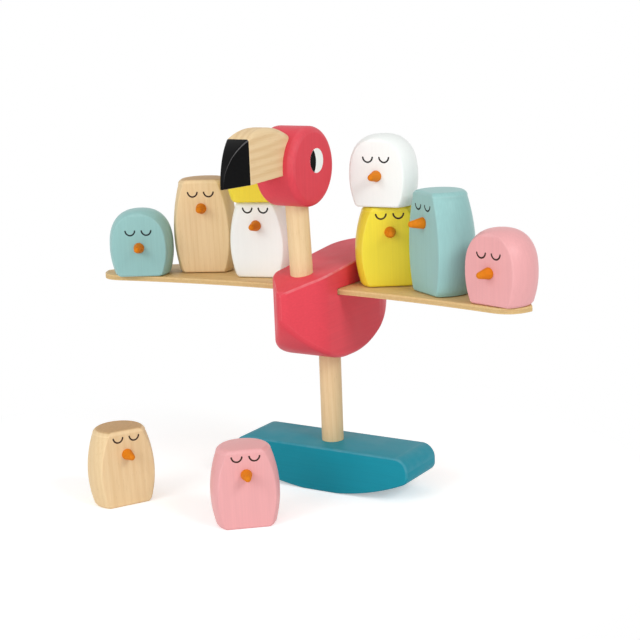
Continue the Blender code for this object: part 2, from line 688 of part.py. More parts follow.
def make_birds(wood, white, yellow, teal, pink, orange):
    short = (egg_rings(SHORT_HEIGHT, SHORT_BELLY), SHORT_BEAK)
    medium = (barrel_rings(MEDIUM_HEIGHT, MEDIUM_BELLY), MEDIUM_BEAK)
    tall = (barrel_rings(TALL_HEIGHT, TALL_BELLY), TALL_BEAK)
    on_wing = WING_TOP + SEAT_GAP
    on_medium = on_wing + MEDIUM_HEIGHT + SEAT_GAP
    half = BODY_THICKNESS / 2 + BIRD_DIAMETER / 2

    left_inner = (-half - LEFT_INNER_GAP, LEFT_INNER_BACK)
    left_middle = beside(left_inner, LEFT_MIDDLE_GAP, LEFT_MIDDLE_DIRECTION)
    left_outer = beside(left_middle, LEFT_OUTER_GAP, LEFT_OUTER_DIRECTION)
    right_inner = (half + RIGHT_INNER_GAP, RIGHT_INNER_BACK)
    right_middle = beside(right_inner, RIGHT_MIDDLE_GAP, RIGHT_MIDDLE_DIRECTION)
    right_outer = beside(right_middle, RIGHT_OUTER_GAP, RIGHT_OUTER_DIRECTION)
    left_upper = (left_inner[0] + LEFT_UPPER_SHIFT, left_inner[1] - LEFT_UPPER_FORWARD)
    right_upper = (right_inner[0] + RIGHT_UPPER_SHIFT, right_inner[1] - RIGHT_UPPER_FORWARD)
    table_left = (-TABLE_LEFT_ASIDE, -TABLE_LEFT_FORWARD)
    table_middle = (-TABLE_MIDDLE_ASIDE, -TABLE_MIDDLE_FORWARD)

    def add(name, kind, place, z, facing, paint):
        make_bird(name, *kind, (*place, z), facing, paint, orange)

    add("white_medium", medium, left_inner, on_wing, WHITE_MEDIUM_FACING, white)
    add("yellow_short", short, left_upper, on_medium, YELLOW_SHORT_FACING, yellow)
    add("natural_tall", tall, left_middle, on_wing, NATURAL_TALL_FACING, wood)
    add("teal_short", short, left_outer, on_wing, TEAL_SHORT_FACING, teal)
    add("yellow_medium", medium, right_inner, on_wing, YELLOW_MEDIUM_FACING, yellow)
    add("white_short", short, right_upper, on_medium, WHITE_SHORT_FACING, white)
    add("teal_tall", tall, right_middle, on_wing, TEAL_TALL_FACING, teal)
    add("pink_short", short, right_outer, on_wing, PINK_SHORT_FACING, pink)
    add("natural_medium", medium, table_left, 0, NATURAL_MEDIUM_FACING, wood)
    add("pink_medium", medium, table_middle, 0, PINK_MEDIUM_FACING, pink)


def main():
    clear_scene()
    wood = make_material("bare_wood", (0.78, 0.57, 0.33), 0.55)
    ply = make_material("plywood", (0.70, 0.46, 0.20), 0.55)
    red = make_material("red_paint", (0.72, 0.07, 0.10), 0.40)
    sea = make_material("sea_paint", (0.01, 0.21, 0.29), 0.40)
    white = make_material("white_paint", (0.88, 0.87, 0.85), 0.45)
    yellow = make_material("yellow_paint", (0.86, 0.68, 0.05), 0.45)
    teal = make_material("pale_teal_paint", (0.29, 0.54, 0.53), 0.45)
    pink = make_material("pink_paint", (0.86, 0.42, 0.44), 0.45)
    orange = make_material("orange_paint", (0.75, 0.23, 0.02), 0.45)

    make_rocker(sea)
    make_leg(wood)
    make_body(red)
    make_neck(wood)
    make_head(red)
    make_beak(wood)
    make_pin(wood)
    make_wing(ply)
    make_birds(wood, white, yellow, teal, pink, orange)


if __name__ == "__main__":
    main()
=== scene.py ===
from math import acos, asin, atan, atan2, cos, pi, radians, sin, sqrt, tan

import bmesh
import bpy
from bpy.props import FloatProperty, FloatVectorProperty, PointerProperty
from bpy.types import Operator, Panel, PropertyGroup
from mathutils import Color, Matrix, Vector


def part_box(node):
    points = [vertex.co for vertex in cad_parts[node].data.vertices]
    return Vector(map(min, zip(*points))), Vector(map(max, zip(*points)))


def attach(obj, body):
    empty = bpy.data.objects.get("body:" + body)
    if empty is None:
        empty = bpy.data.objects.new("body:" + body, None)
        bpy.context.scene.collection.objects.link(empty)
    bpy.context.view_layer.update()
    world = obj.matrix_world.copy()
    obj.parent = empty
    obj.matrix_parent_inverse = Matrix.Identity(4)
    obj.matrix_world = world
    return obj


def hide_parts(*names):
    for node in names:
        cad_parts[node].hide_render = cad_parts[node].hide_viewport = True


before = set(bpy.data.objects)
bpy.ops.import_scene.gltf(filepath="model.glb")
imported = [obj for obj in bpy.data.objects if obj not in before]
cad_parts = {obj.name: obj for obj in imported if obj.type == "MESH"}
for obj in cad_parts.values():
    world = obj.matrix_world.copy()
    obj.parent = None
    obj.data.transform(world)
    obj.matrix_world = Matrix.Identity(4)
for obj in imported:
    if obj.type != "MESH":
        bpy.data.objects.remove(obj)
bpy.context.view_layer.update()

bl_info = {
    "name": "Balance game",
    "version": (1, 0, 0),
    "blender": (4, 5, 0),
    "location": "View3D > Sidebar > Balance game",
    "description": "Models a wooden flamingo on a rocker, its wing plank and its ten birds",
    "category": "Add Mesh",
}

LEG_LOW, LEG_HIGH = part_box("leg_dowel")
BODY_LOW, BODY_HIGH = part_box("body_block")
HEAD_LOW, HEAD_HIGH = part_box("head_block")
WING_LOW, WING_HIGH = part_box("wing_plank")
HEAD_CENTRE = (HEAD_LOW + HEAD_HIGH) / 2

TURN = 2 * pi
QUARTER = pi / 2
WELD = 0.000002  # points closer than this are merged
LEAST = 0.0001  # stands for nothing where a shape would close to a point
SMOOTH = radians(28)  # an edge that turns less than this is shaded smooth
BEAK_SMOOTH = radians(16)
WHITE = (1, 1, 1, 1)

# Worn edges with painted highlight: edges lighter as worn thin paint and as a painted highlight on the
# upper ones
WEAR_HIGHLIGHT_ATTRIBUTE = "edge_wear"
WEAR_HIGHLIGHT_FROM = radians(8)  # an edge that turns less than this gets neither wear nor painted highlight
WEAR_HIGHLIGHT_FULL = radians(15)
WEAR_HIGHLIGHT_WIDTH = 0.0014  # wider faces get neither wear nor painted highlight
UPPER_HIGHLIGHT_FROM = -0.15  # upward share of the normal where wear and painted highlight start, so the painted highlight keeps to upper edges
UPPER_HIGHLIGHT_FULL = 0.1  # and where it is full

# Shapes, as shares of the sizes that they belong to
DOWEL_SOFT = 0.04  # rounding of a dowel's ends, of its diameter
DOWEL_BOW = 0.3  # of that rounding, at its middle
DOWEL_MIDDLE = (0.1, 0.9)  # first and last ring between the ends
BODY_MOST_ROUND = (0.9, 0.4)  # limits of its rounding, of half the width and of the height
BEAK_MOST_ROUND = (0.95, 0.45)
TAIL_END = 0.9999  # of the tail's length, where its last section lies
HEAD_INNER = 0.5  # of the head's radius, where the flat of a cheek starts
PUPIL_CORNER = (-0.44, 0.9)  # of the eye's radius, back and up from its middle
PUPIL_INSET = 0.997
PUPIL_BACK_MIDDLE = 1.568
PUPIL_BACK_RADIUS = 1.443
EYE_EDGE = 0.992  # the outline of the eye's surface
DOME_POWER = 2.5  # 2 makes the dome an ellipse, more makes it fuller
PEG_ROOT = ((0.7, -0.002), (0.97, -0.0002), (1, 0.0004))  # width, and how far out
PEG_START = 0.15
STROKE_ENDS = ((0.0, 0.35), (0.012, 0.75))  # place along a closed eye, and width
STROKE_MIDDLE = (0.03, 0.97)

# Small distances and limits
EYE_SINK = 0.0006  # of the painted eye, under the cheek
WHITE_LIFT = 0.00006
PUPIL_LIFT = 0.00011
STROKE_LIFT = 0.00001
STROKE_BULGE = 0.00006
PEG_POINT = 0.00008
BEAK_END = radians(88.6)  # of the quarter turn that the beak's front falls by
BEAK_SEAT_GAP = 0.0002  # on the head's diameter
BLACK_HIGHLIGHT_TURN = (0.45, 0.8)  # sideways share of the normal on the black tip's nose edge, which gets a painted highlight

# Finishes
NOISE_MIDDLE = (0.3, 0.7)  # range that most of a noise lies in
LINE_SHARE = 0.65  # of the lines in the depth of paint, and the clouds have the rest
WORN_HIGHLIGHT_WHITE = 0.5  # white in the lighter edges: worn paint and painted highlight
WOOD_SHINE = 0.35
WOOD_BUMP = 0.14
BUMP_DEPTH = 0.00012
GLUE_LINES = (0.33, 0.67)  # of the plywood's thickness, from below
GLUE_SOFT = 0.04

# Stage
FLOOR_MIDDLE = (0.035, 0.055, 0)  # from the middle of what stands on it to the origin
LAMP_AIM = (0, 0, 0.10)
LAMPS = (
    ("key", (-0.34, -1.12, 0.70), 0.7, 0.7),
    ("front", (0.35, -1.3, 0.45), 0.9, 0.7),
    ("right", (1.08, -0.33, 0.86), 0.45, 0.45),
)
CLIP_RANGE = (0.01, 50)


def extent(node):
    low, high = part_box(node)
    return high - low


def number(description, default, unit="NONE", precision=2):
    return FloatProperty(description=description, default=default, unit=unit, precision=precision)


def size(description, default):
    return number(description, default, "LENGTH", 4)


def triple(description, *defaults):
    """Three sizes, or the place of a point."""
    return FloatVectorProperty(description=description, default=defaults, unit="LENGTH", precision=4)


def angle(description, degrees):
    return number(description, radians(degrees), "ROTATION")


def colour(description, red, green, blue):
    """A colour as seen on a screen, 0 to 255, kept as the linear values that shaders take."""
    seen = Color((red / 255, green / 255, blue / 255))
    tone = (*seen.from_srgb_to_scene_linear(), 1)
    channels = {"size": 4, "min": 0, "max": 1}
    return FloatVectorProperty(description=description, default=tone, subtype="COLOR", **channels)


class FlamingoSizes(PropertyGroup):
    rocker_length: size("Along the wing", extent("rocker_base").x)
    rocker_width: size("From front to back", extent("rocker_base").y)
    rocker_height: size("From the table to its top", extent("rocker_base").z)
    rocker_radius: size("Of the curved underside", 0.130)
    rocker_rest: size("Length of the flat it rests on", 0.020)
    rocker_top_round: size("Rounding of its upper ends", 0.0075)
    rocker_foot_round: size("Rounding of its lower ends", 0.005)
    rocker_arris: size("Rounding along its front and back edges", 0.0012)
    dowel_diameter: size("Of the leg and the neck", extent("leg_dowel").x)
    neck_forward: size("Foot of the neck, in front of the leg", 0.0252)
    neck_lean: angle("Forward lean of the neck", 3.2)
    head_diameter: size("Across the round head", extent("head_block").z)
    head_thickness: size("From cheek to cheek", extent("head_block").x)
    head_round: size("Rounding around the cheeks", 0.0036)
    eye_diameter: size("Of the white of the eye", 0.0126)
    eye_back: size("Eye behind the head's middle", 0.0029)
    eye_rise: size("Eye above the head's middle", 0.0028)
    beak_thickness: size("From side to side", extent("beak_block").x)
    beak_tip_thickness: size("At the front of the tip", 0.0018)
    beak_facet_start: size("Start of the black tip, from the head's middle", 0.0495)
    beak_peak: size("Its peak, in front of the head's middle", 0.033)
    beak_peak_rise: size("Its peak, above the head's middle", 0.0227)
    beak_back: size("Radius of the top behind its peak", 0.050)
    beak_tip_drop: size("Tip under the head's middle", 0.0040)
    beak_under_slope: angle("Slope of the underside", 1.9)
    beak_head_round: size("Rounding of its upper edges at the head", 0.0064)
    beak_line_round: size("Rounding of its upper edges at the black", 0.0012)
    beak_arris: size("Rounding of its lower edges and of the tip", 0.0005)


class BodySizes(PropertyGroup):
    thickness: size("From side to side", extent("body_block").x)
    height: size("From belly to top, over the leg", 0.0505)
    top_slope: angle("The top rises towards the tail", 5.8)
    nose_width: size("Across the front edge", 0.004)
    prow_length: size("Of the slanting facets at the nose", 0.017)
    chest_start: size("Where the top falls, in front of the leg", 0.0307)
    chest_slope: angle("Of the fall from there to the nose", 21.3)
    chest_soft: size("Softness of that bend", 0.002)
    chest_low: size("Lower end of the nose, above the belly", 0.025)
    nose_round: size("At the top and the bottom of the nose", 0.002)
    belly_front: size("Where the breast's curve starts", 0.004)
    rump_length: size("Of the curve from belly to tail", 0.050)
    rump_height: size("Rise of that curve", 0.047)
    tail_length: size("Of the rounded end from above", 0.025)
    tail_drop: size("Fall of the top at the tail", 0.0008)
    arris: size("Rounding along the upper edges", 0.0011)
    low_round: size("Rounding along the lower edges", 0.0030)
    crease: size("Softness of the creases behind the prow", 0.005)
    slot_front: size("Plank's slot in front of the leg", 0.0161)
    slot_back: size("Plank's slot behind the leg", 0.0298)
    slot_gap: size("Above and under the plank", 0.0003)


class WingSizes(PropertyGroup):
    thickness: size("Of the plywood", extent("wing_plank").z)
    length: size("From tip to tip", extent("wing_plank").x)
    width: size("At the middle", 0.044)
    forward: size("Front edge in front of the leg", 0.0147)
    front_radius: size("Of the swept front edge", 0.565)
    tip_length: size("Of the curve at each end of the back edge", 0.0755)
    tip_sweep: size("How far that curve comes forward", 0.0447)
    end_slant: size("Front corners in from the ends", 0.0047)
    corner_reach: size("Reach of a front corner's rounding", 0.013)
    arris: size("Rounding of the upper and lower edges", 0.0004)


class BirdSizes(PropertyGroup):
    diameter: size("At the widest place", 0.036)
    top_diameter: size("Of the flat top", 0.0264)
    foot_diameter: size("At the foot", 0.0304)
    face: size("From the axis to the flat face", 0.010)
    arris: size("Rounding of foot, top and face", 0.0011)
    top_round: size("Rounding around a flat top", 0.0021)
    belly_heights: triple("Of the widest place, on a short, medium and tall bird", 0.0155, 0.0178, 0.0220)
    beak_heights: triple("Of the beak, in the same order", 0.0163, 0.0290, 0.0366)
    eye_heights: triple("Of the eyes, in the same order", 0.0249, 0.0375, 0.0446)
    peg_diameter: size("Where it leaves the face", 0.006)
    peg_length: size("Out of the face", 0.0085)
    peg_tip: size("Radius of the tip", 0.0017)
    eye_width: size("Of one closed eye", 0.0054)
    eye_depth: size("Of one closed eye", 0.0029)
    eye_apart: size("Between the middles of the eyes", 0.0091)
    eye_stroke: size("Width of the drawn line", 0.0009)


class PaintColours(PropertyGroup):
    red: colour("Body and head", 223, 72, 85)
    sea: colour("Rocker", 20, 140, 160)
    white: colour("White birds and the white of the eye", 242, 246, 243)
    yellow: colour("Yellow birds", 240, 220, 62)
    teal: colour("Pale teal birds", 149, 195, 193)
    pink: colour("Pink birds", 233, 169, 170)
    orange: colour("Beaks of the birds", 221, 128, 26)
    black: colour("Tip of the beak and the pupils", 14, 14, 15)
    # Grey of the black tip's nose edge: a painted highlight
    worn_black: colour("Edges of the black tip", 58, 56, 57)
    wood_light: colour("Bare wood between its lines", 238, 211, 166)
    wood_dark: colour("Lines of the bare wood", 217, 181, 130)
    wood_end: colour("Sawn ends of the bare wood", 196, 153, 100)
    ply_light: colour("Face of the plank", 229, 197, 140)
    ply_dark: colour("Lines and layers of the plank", 196, 154, 92)
    ink_brown: colour("Eyes on wood, yellow and pink", 58, 36, 28)
    ink_green: colour("Eyes on pale teal", 30, 44, 44)
    ink_black: colour("Eyes on white", 30, 29, 29)


class StageSettings(PropertyGroup):
    azimuth: angle("Of the camera round the object", 32.03)
    elevation: angle("Of the camera above the table", 12.531)
    roll: angle("Of the camera about its own line", 2.151)
    distance: size("Of the camera from its aim", 0.8194)
    aim: triple("The point that the camera looks at", -0.01437, 0.01416, 0.08832)
    lens: number("Focal length in millimetres", 82.81)
    floor_size: size("Side of the square floor", 14.0)
    floor: colour("Pale floor", 246, 246, 246)
    floor_lift: number("White added where the floor is seen", 0.37)
    floor_near: size("Where it starts to fade into white", 0.13)
    floor_far: size("Where it has faded into white", 0.24)
    room_light: number("Even light from all round", 0.51)
    key_power: number("Of the lamp at the left", 5.0, "POWER")
    front_power: number("Of the lamp by the camera", 2.35, "POWER")
    right_power: number("Of the lamp at the right", 5.9, "POWER")


def clear_selection():
    """Leave edit mode and select nothing."""
    if bpy.context.object and bpy.context.object.mode != "OBJECT":
        bpy.ops.object.mode_set(mode="OBJECT")
    bpy.ops.object.select_all(action="DESELECT")


def select_only(obj):
    clear_selection()
    obj.select_set(True)
    bpy.context.view_layer.objects.active = obj


def shape_face(obj, outline):
    """Put the corners of the selected face at the given points."""
    mesh = bmesh.from_edit_mesh(obj.data)
    face = next(item for item in mesh.faces if item.select)
    for corner, point in zip(face.verts, outline):
        corner.co = point
    bmesh.update_edit_mesh(obj.data)


def start_face(name, outline):
    """A new mesh of one face with its corners at the given points, in edit mode."""
    clear_selection()
    reach = max(Vector(point).length for point in outline)
    bpy.ops.mesh.primitive_circle_add(vertices=len(outline), radius=reach, fill_type="NGON")
    obj = bpy.context.object
    obj.name = name
    obj.data.name = name
    bpy.ops.object.mode_set(mode="EDIT")
    shape_face(obj, outline)
    return obj


def close_up():
    """Merge doubled points, turn the faces outwards and leave edit mode."""
    bpy.ops.mesh.select_all(action="SELECT")
    bpy.ops.mesh.remove_doubles(threshold=WELD)
    bpy.ops.mesh.dissolve_degenerate(threshold=WELD)
    bpy.ops.mesh.normals_make_consistent()
    bpy.ops.object.mode_set(mode="OBJECT")


def loft(name, rings):
    """Draw the first ring as a face, then extrude it through all the others."""
    obj = start_face(name, rings[0])
    for ring in rings[1:]:
        bpy.ops.mesh.extrude_region_move()
        shape_face(obj, ring)
    close_up()
    return obj


def plate(name, outline, sweep):
    """A face extruded straight along a vector, left in edit mode."""
    obj = start_face(name, outline)
    bpy.ops.mesh.extrude_region_move(TRANSFORM_OT_translate={"value": sweep})
    bpy.ops.mesh.select_all(action="SELECT")
    bpy.ops.mesh.remove_doubles(threshold=WELD)
    bpy.ops.mesh.normals_make_consistent()
    return obj


def bevel_edges(obj, axis, offset, segments):
    """Round the edges that lie square to an axis."""
    along = "XYZ".index(axis)
    bpy.ops.mesh.select_mode(type="EDGE")
    bpy.ops.mesh.select_all(action="DESELECT")
    mesh = bmesh.from_edit_mesh(obj.data)
    for edge in mesh.edges:
        start, end = edge.verts
        if abs(start.co[along] - end.co[along]) < WELD:
            edge.select_set(True)
    bmesh.update_edit_mesh(obj.data)
    bpy.ops.mesh.bevel(offset=offset, segments=segments, clamp_overlap=True)


def cut_out(obj, tool):
    """Take one solid out of another and throw the tool away."""
    select_only(obj)
    bpy.ops.object.modifier_add(type="BOOLEAN")
    cutter = obj.modifiers[-1]
    cutter.operation = "DIFFERENCE"
    cutter.solver = "EXACT"
    cutter.object = tool
    bpy.ops.object.modifier_apply(modifier=cutter.name)
    bpy.data.objects.remove(tool, do_unlink=True)


def held_share(value, low, high):
    """Where a value lies between two others, from 0 to 1."""
    return min(max((value - low) / (high - low), 0), 1)


def mark_wear_and_highlight(obj):
    """Store on the corners of every narrow face how much lighter it is, as worn paint and as a painted
    highlight, most on upper edges.
    """
    mesh = bmesh.new()
    mesh.from_mesh(obj.data)
    wear = []
    for face in mesh.faces:
        narrow = face.calc_area() < WEAR_HIGHLIGHT_WIDTH * max(edge.calc_length() for edge in face.edges)
        upward = held_share(face.normal.z, UPPER_HIGHLIGHT_FROM, UPPER_HIGHLIGHT_FULL)
        for point in face.verts:
            turn = max(edge.calc_face_angle_signed(0) for edge in point.link_edges)
            wear.append(held_share(turn, WEAR_HIGHLIGHT_FROM, WEAR_HIGHLIGHT_FULL) * upward if narrow else 0)
    mesh.free()
    obj.data.attributes.new(WEAR_HIGHLIGHT_ATTRIBUTE, "FLOAT", "CORNER").data.foreach_set("value", wear)


def finish_piece(obj, body, material, slot, *nodes, smooth=SMOOTH):
    """Shade and paint a piece, and put it on its body in place of its nodes."""
    select_only(obj)
    mark_wear_and_highlight(obj)
    bpy.ops.object.shade_smooth_by_angle(angle=smooth)
    obj.data.materials.clear()
    obj.data.materials.append(material)
    if nodes:
        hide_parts(*nodes)
    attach(obj, body)


def steps(start, end, count):
    return [start + (end - start) * step / count for step in range(count + 1)]


def arc(centre, radius, start, end, count):
    """Points of an arc in a plane, from one angle to another."""
    across, up = centre
    turns = steps(start, end, count)
    return [(across + radius * cos(turn), up + radius * sin(turn)) for turn in turns]


def rounded_section(half, high, low, high_round, low_round, limits, count):
    """An upright rectangle with rounded corners, from its right upper one round."""
    wide, tall = limits
    most = min(half * wide, (high - low) * tall)
    above = min(high_round, most)
    below = min(low_round, most)
    corners = ((1, high, -above), (-1, high, -above), (-1, low, below), (1, low, below))
    ring = []
    for quarter, (side, level, inward) in enumerate(corners):
        centre = (side * (half - abs(inward)), level + inward)
        ring += arc(centre, abs(inward), quarter * QUARTER, (quarter + 1) * QUARTER, count)
    return ring


def soft_min(first, second, softness):
    """The smaller of two values, rounded where they cross."""
    share = max(softness - abs(first - second), 0) / softness
    return min(first, second) - share * share * softness / 4


class Nodes:
    """A node tree, emptied and filled anew."""

    def __init__(self, tree):
        self.tree = tree
        tree.nodes.clear()

    def fill(self, socket, value):
        """Give a socket its value, or link an output to it."""
        if isinstance(value, bpy.types.NodeSocket):
            self.tree.links.new(value, socket)
        else:
            socket.default_value = value

    def add(self, kind, settings=None, **sockets):
        """A node with its settings, and its sockets by name or by number after a bar."""
        node = self.tree.nodes.new("ShaderNode" + kind)
        for key, value in (settings or {}).items():
            setattr(node, key, value)
        for key, value in sockets.items():
            self.fill(node.inputs[int(key[1:]) if key[0] == "_" else key.replace("_", " ")], value)
        return node

    def span(self, value, low, high, to_low, to_high):
        """A value stretched from one range to another, held at the ends."""
        ends = {"From_Min": low, "From_Max": high, "To_Min": to_low, "To_Max": to_high}
        return self.add("MapRange", Value=value, **ends).outputs["Result"]

    def math(self, operation, first, second):
        return self.add("Math", {"operation": operation}, _0=first, _1=second).outputs["Value"]

    def seen(self):
        """1 for what the camera, a mirror or a glass sees, and 0 for what lights the object."""
        rays = self.add("LightPath").outputs
        seen = self.math("MAXIMUM", rays["Is Camera Ray"], rays["Is Glossy Ray"])
        return self.math("MAXIMUM", seen, rays["Is Transmission Ray"])


class Finish(Nodes):
    """A material's nodes, from its shader backwards."""

    def __init__(self, name):
        self.material = bpy.data.materials.get(name) or bpy.data.materials.new(name)
        self.material.use_nodes = True
        super().__init__(self.material.node_tree)
        self.shader = self.add("BsdfPrincipled")
        self.add("OutputMaterial", Surface=self.shader.outputs["BSDF"])
        self.place = self.add("TexCoord")

    def mapped(self, scale, turn=(0, 0, 0), shift=(0, 0, 0)):
        """Object coordinates, moved, turned and scaled."""
        place = self.place.outputs["Object"]
        node = self.add("Mapping", Vector=place, Location=shift, Rotation=turn, Scale=scale)
        return node.outputs["Vector"]

    def noise(self, scale, detail, shift=(0, 0, 0)):
        """Noise with its features per metre, the same for all axes or one for each."""
        scale = scale if isinstance(scale, tuple) else (scale, scale, scale)
        place = self.mapped(scale, shift=shift)
        return self.add("TexNoise", Vector=place, Scale=1, Detail=detail).outputs["Fac"]

    def vary(self, noise, low, high):
        """A noise stretched to a range."""
        return self.span(noise, *NOISE_MIDDLE, low, high)

    def blend(self, share, first, second):
        """Two colours mixed."""
        return self.add("Mix", {"data_type": "RGBA"}, _0=share, _6=first, _7=second).outputs[2]

    def facing(self, axis):
        """How much the surface faces along an axis, from 0 to 1."""
        node = self.add("SeparateXYZ", Vector=self.place.outputs["Normal"])
        return self.math("ABSOLUTE", node.outputs[axis], 0.0)

    def wear(self):
        """How much worn paint and painted highlight the surface has, from 0 to 1."""
        return self.add("Attribute", {"attribute_name": WEAR_HIGHLIGHT_ATTRIBUTE}).outputs["Fac"]

    def set(self, **sockets):
        """Fill sockets of the shader."""
        for key, value in sockets.items():
            self.fill(self.shader.inputs[key.replace("_", " ")], value)

    def bump(self, height, strength):
        node = self.add("Bump", Height=height, Strength=strength, Distance=BUMP_DEPTH)
        self.set(Normal=node.outputs["Normal"])


def stretched(along, across, lengthwise):
    """Noise scale with long features along one axis."""
    scale = [across, across, across]
    scale["XYZ".index(along)] = lengthwise
    return tuple(scale)


def shaded(tone, factor):
    return (*(min(1, part * factor) for part in tone[:3]), 1)


def paint_finish(name, tone, along, grain=0.06, roughness=0.42, shine=0.13, worn=0.14, shift=(0, 0, 0)):
    """Satin paint on wood: the grain shows faintly, and the edges are lighter, partly worn thin and
    partly a painted highlight.
    """
    finish = Finish(name)
    tone = tuple(tone)
    lines = finish.noise(stretched(along, 1100, 26), 4, shift)
    clouds = finish.noise(55, 3, shift)
    specks = finish.noise(2600, 2, shift)
    depth = finish.vary(lines, 0, LINE_SHARE)
    depth = finish.math("ADD", depth, finish.vary(clouds, 0, 1 - LINE_SHARE))
    coat = finish.blend(depth, shaded(tone, 1 - grain), shaded(tone, 1 + grain * 0.6))
    # Lighter edges in patches: worn thin paint and a painted highlight
    patches = finish.noise(170, 3, shift)
    patches = finish.span(patches, 0.35, 0.65, worn * 0.45, worn)
    worn_highlight_tone = tuple(part + (1 - part) * WORN_HIGHLIGHT_WHITE for part in tone)
    finish.set(
        Base_Color=finish.blend(finish.math("MULTIPLY", finish.wear(), patches), coat, worn_highlight_tone),
        Roughness=finish.vary(clouds, roughness - 0.05, roughness + 0.07),
        Specular_IOR_Level=shine,
    )
    finish.bump(finish.math("ADD", lines, finish.math("MULTIPLY", specks, 0.35)), 0.10)
    return finish.material


def wood_finish(name, colours, along, rings_turn, ends=True, growth=0.16, lean=9):
    """Bare sanded wood: growth lines, fine fibres, short flecks and darker sawn ends."""
    finish = Finish(name)
    light = tuple(colours.wood_light)
    dark = tuple(colours.wood_dark)
    wave = finish.add(
        "TexWave",
        {"bands_direction": "DIAGONAL"},
        Vector=finish.mapped(stretched(along, 150, lean), rings_turn),
        Scale=1,
        Distortion=2.4,
        Detail=2,
        Detail_Scale=1.1,
    )
    fibres = finish.noise(stretched(along, 1500, 30), 5)
    clouds = finish.noise(stretched(along, 120, 14), 2)
    flecks = finish.noise(stretched(along, 2300, 210), 2)
    lines = finish.span(wave.outputs["Fac"], 0.2, 1, 0, growth)
    lines = finish.math("ADD", lines, finish.vary(fibres, 0, 0.26))
    face = finish.blend(finish.math("ADD", lines, finish.vary(clouds, 0, 0.24)), light, dark)
    face = finish.blend(finish.span(flecks, 0.62, 0.74, 0, 0.3), face, shaded(dark, 0.78))
    if ends:
        sawn = tuple(colours.wood_end)
        end = finish.blend(finish.vary(finish.noise(900, 4), 0, 1), sawn, shaded(sawn, 0.8))
        face = finish.blend(finish.span(finish.facing(along), 0.8, 0.95, 0, 0.85), face, end)
    # Lighter upper edges: worn wood and a painted highlight
    worn = finish.math("MULTIPLY", finish.wear(), 0.7)
    finish.set(
        Base_Color=finish.blend(worn, face, shaded(light, 1.06)),
        Roughness=finish.vary(fibres, 0.48, 0.62),
        Specular_IOR_Level=WOOD_SHINE,
    )
    finish.bump(finish.math("ADD", fibres, finish.math("MULTIPLY", flecks, 0.5)), WOOD_BUMP)
    return finish.material


def ply_finish(name, colours, low, thickness):
    """Plywood: long grain on the faces, and the layers on the edge."""
    finish = Finish(name)
    light = tuple(colours.ply_light)
    dark = tuple(colours.ply_dark)
    fibres = finish.noise(stretched("X", 900, 24), 5)
    clouds = finish.noise(stretched("X", 90, 9), 3)
    flecks = finish.noise(stretched("X", 2200, 170), 2)
    face = finish.math("ADD", finish.vary(fibres, 0, 0.35), finish.vary(clouds, 0, 0.25))
    face = finish.blend(face, light, dark)
    face = finish.blend(finish.span(flecks, 0.63, 0.75, 0, 0.5), face, shaded(dark, 0.7))
    height = finish.add("SeparateXYZ", Vector=finish.place.outputs["Object"]).outputs["Z"]
    wobble = finish.math("MULTIPLY", finish.noise(160, 2), 0.0003)
    layer = finish.span(finish.math("ADD", height, wobble), low, low + thickness, 0, 1)
    bands = finish.add("ValToRGB", Fac=layer)
    outer = shaded(light, 0.95)
    inner = shaded(light, 0.84)
    first, second = GLUE_LINES
    stops = [(0, outer), (first - GLUE_SOFT, outer), (first, dark), (first + GLUE_SOFT, inner)]
    stops += [(second - GLUE_SOFT, inner), (second, dark), (second + GLUE_SOFT, outer), (1, outer)]
    ramp = bands.color_ramp
    while len(ramp.elements) < len(stops):
        ramp.elements.new(0.5)
    for element, (place, tone) in zip(ramp.elements, stops):
        element.position = place
        element.color = tone
    edge = finish.blend(finish.vary(finish.noise(700, 4), 0, 0.35), bands.outputs["Color"], dark)
    finish.set(
        Base_Color=finish.blend(finish.span(finish.facing("Z"), 0.55, 0.8, 0, 1), edge, face),
        Roughness=finish.vary(fibres, 0.45, 0.6),
        Specular_IOR_Level=WOOD_SHINE,
    )
    finish.bump(finish.math("ADD", fibres, flecks), WOOD_BUMP)
    return finish.material


class BALANCE_OT_rocker(Operator):
    """Model the rocker: flat on top, curved below, with soft edges"""
    bl_idname = "balance.rocker"
    bl_label = "Rocker"

    def execute(self, context):
        sizes = context.scene.balance_flamingo
        half = sizes.rocker_length / 2
        rest = sizes.rocker_rest / 2
        curve_z = sqrt(sizes.rocker_radius ** 2 - rest ** 2)
        foot_x = half - sizes.rocker_foot_round
        reach = sizes.rocker_radius - sizes.rocker_foot_round
        foot_z = curve_z - sqrt(reach ** 2 - foot_x ** 2)
        lean = atan2(foot_z - curve_z, foot_x)
        top = (half - sizes.rocker_top_round, sizes.rocker_height - sizes.rocker_top_round)
        right = arc((0, curve_z), sizes.rocker_radius, atan2(-curve_z, rest), lean, count=30)
        right += arc((foot_x, foot_z), sizes.rocker_foot_round, lean, 0, count=9)[1:]
        right += arc(top, sizes.rocker_top_round, 0, QUARTER, count=14)
        left = [(-x, z) for x, z in reversed(right)]
        front = -sizes.rocker_width / 2
        outline = [(x, front, z) for x, z in right + left]
        obj = plate("rocker_block", outline, (0, sizes.rocker_width, 0))
        bevel_edges(obj, "Y", sizes.rocker_arris, segments=4)
        close_up()
        paint = paint_finish("sea_paint_coat", context.scene.balance_colours.sea, "X", worn=0.12)
        finish_piece(obj, "flamingo", paint, "sea_paint", "rocker_base")
        return {"FINISHED"}


